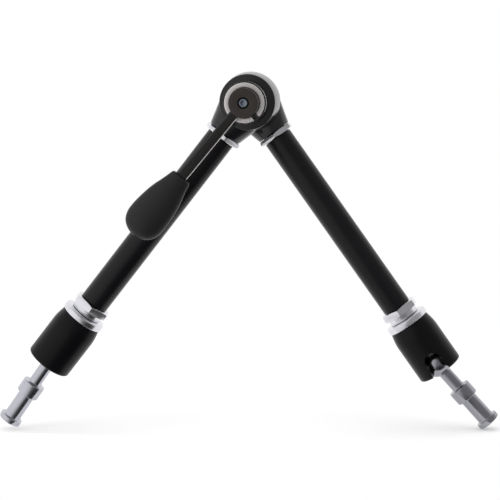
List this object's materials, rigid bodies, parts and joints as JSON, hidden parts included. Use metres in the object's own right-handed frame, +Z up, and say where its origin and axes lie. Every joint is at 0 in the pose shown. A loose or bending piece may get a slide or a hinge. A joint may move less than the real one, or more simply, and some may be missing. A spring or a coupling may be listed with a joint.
{
  "type": "articulating friction arm",
  "caption": "Articulating friction arm: two tubes on a central elbow with a lock lever, and a ball joint with a 16 mm spigot on each outer end.",
  "frame": {"origin": "centre of the base spigot's flat end face", "axes": "+X across the inverted V towards the head spigot, +Y from the lever's side to the back along the elbow's pivot, +Z up"},
  "size_m": [0.3465, 0.0922, 0.2483],
  "materials": {
    "polished_stud": "polished and nickel plated",
    "black_sleeve": "satin black paint",
    "bright_nickel": "bright satin plating",
    "plain_steel": "plain turned steel",
    "black_tube": "satin black anodising",
    "nylon": "natural nylon",
    "black_casting": "satin black paint",
    "friction_fibre": "bonded fibre",
    "satin_ring": "warm satin steel",
    "dark_lever": "semi-matt brown-black coating",
    "soft_grip": "soft matt black moulding",
    "blue_screw": "blued steel"
  },
  "bodies": {
    "base_stud": {"base_ball_stud": "polished_stud"},
    "base_sleeve": {"base_ball_sleeve": "black_sleeve", "base_swivel_bush": "bright_nickel"},
    "base_arm": {"base_tube": "black_tube", "base_jam_nut": "bright_nickel", "base_end_nut": "bright_nickel", "base_tail_collar": "plain_steel", "base_rod_guide": "nylon", "front_housing": "black_casting", "retaining_ring": "satin_ring", "friction_washer": "friction_fibre"},
    "base_push": {"base_push_rod": "plain_steel", "base_ball_pad": "nylon"},
    "front_wedge": {"front_wedge": "plain_steel", "thrust_washer": "plain_steel"},
    "lever": {"lock_lever": "dark_lever", "lever_grip": "soft_grip", "lever_screw": "blue_screw"},
    "head_arm": {"head_tube": "black_tube", "head_jam_nut": "bright_nickel", "head_end_nut": "bright_nickel", "head_tail_collar": "plain_steel", "head_rod_guide": "nylon", "rear_housing": "black_casting", "rear_cover": "black_casting"},
    "rear_wedge": {"rear_wedge": "plain_steel", "spring_washer": "plain_steel", "pivot_shaft": "plain_steel"},
    "head_push": {"head_push_rod": "plain_steel", "head_ball_pad": "nylon"},
    "head_sleeve": {"head_ball_sleeve": "black_sleeve", "head_swivel_bush": "bright_nickel"},
    "head_stud": {"head_ball_stud": "polished_stud"}
  },
  "joints": [
    {"name": "base_tilt", "type": "hinge", "parent": "base_stud", "child": "base_sleeve", "pos_m": [0.03181, 0, 0.04584], "axis": [-0.8215, 0, 0.5701], "range_deg": [-30, 90]},
    {"name": "base_swivel", "type": "hinge", "parent": "base_sleeve", "child": "base_arm", "pos_m": [0.16837, 0, 0.22214], "axis": [-0.6124, 0, -0.7906], "continuous": true},
    {"name": "base_push_slide", "type": "slide", "parent": "base_arm", "child": "base_push", "axis": [0.6124, 0, 0.7906], "range_m": [0, 0.0004]},
    {"name": "front_wedge_slide", "type": "slide", "parent": "base_arm", "child": "front_wedge", "axis": [0, -1, 0], "range_m": [0, 0.0012]},
    {"name": "lever_turn", "type": "hinge", "parent": "front_wedge", "child": "lever", "pos_m": [0.16837, 0.014, 0.22214], "axis": [0, -1, 0], "range_deg": [0, 110]},
    {"name": "elbow", "type": "hinge", "parent": "base_arm", "child": "head_arm", "pos_m": [0.16837, 0.014, 0.22214], "axis": [0, -1, 0], "range_deg": [-66, 280]},
    {"name": "rear_wedge_slide", "type": "slide", "parent": "head_arm", "child": "rear_wedge", "axis": [0, 1, 0], "range_m": [0, 0.0012]},
    {"name": "head_push_slide", "type": "slide", "parent": "head_arm", "child": "head_push", "axis": [-0.579, 0, 0.8153], "range_m": [0, 0.0004]},
    {"name": "head_swivel", "type": "hinge", "parent": "head_arm", "child": "head_sleeve", "pos_m": [0.16837, 0.028, 0.22214], "axis": [0.579, 0, -0.8153], "continuous": true},
    {"name": "head_tilt", "type": "hinge", "parent": "head_sleeve", "child": "head_stud", "pos_m": [0.29749, 0.028, 0.04032], "axis": [-0.7399, 0, -0.6728], "range_deg": [-30, 90]}
  ],
  "couplings": [
    {"joint": "front_wedge_slide", "follows": "lever_turn", "m_per_rad": 0.000625},
    {"joint": "rear_wedge_slide", "follows": "lever_turn", "m_per_rad": 0.000625},
    {"joint": "base_push_slide", "follows": "lever_turn", "m_per_rad": 0.0002},
    {"joint": "head_push_slide", "follows": "lever_turn", "m_per_rad": 0.0002}
  ]
}
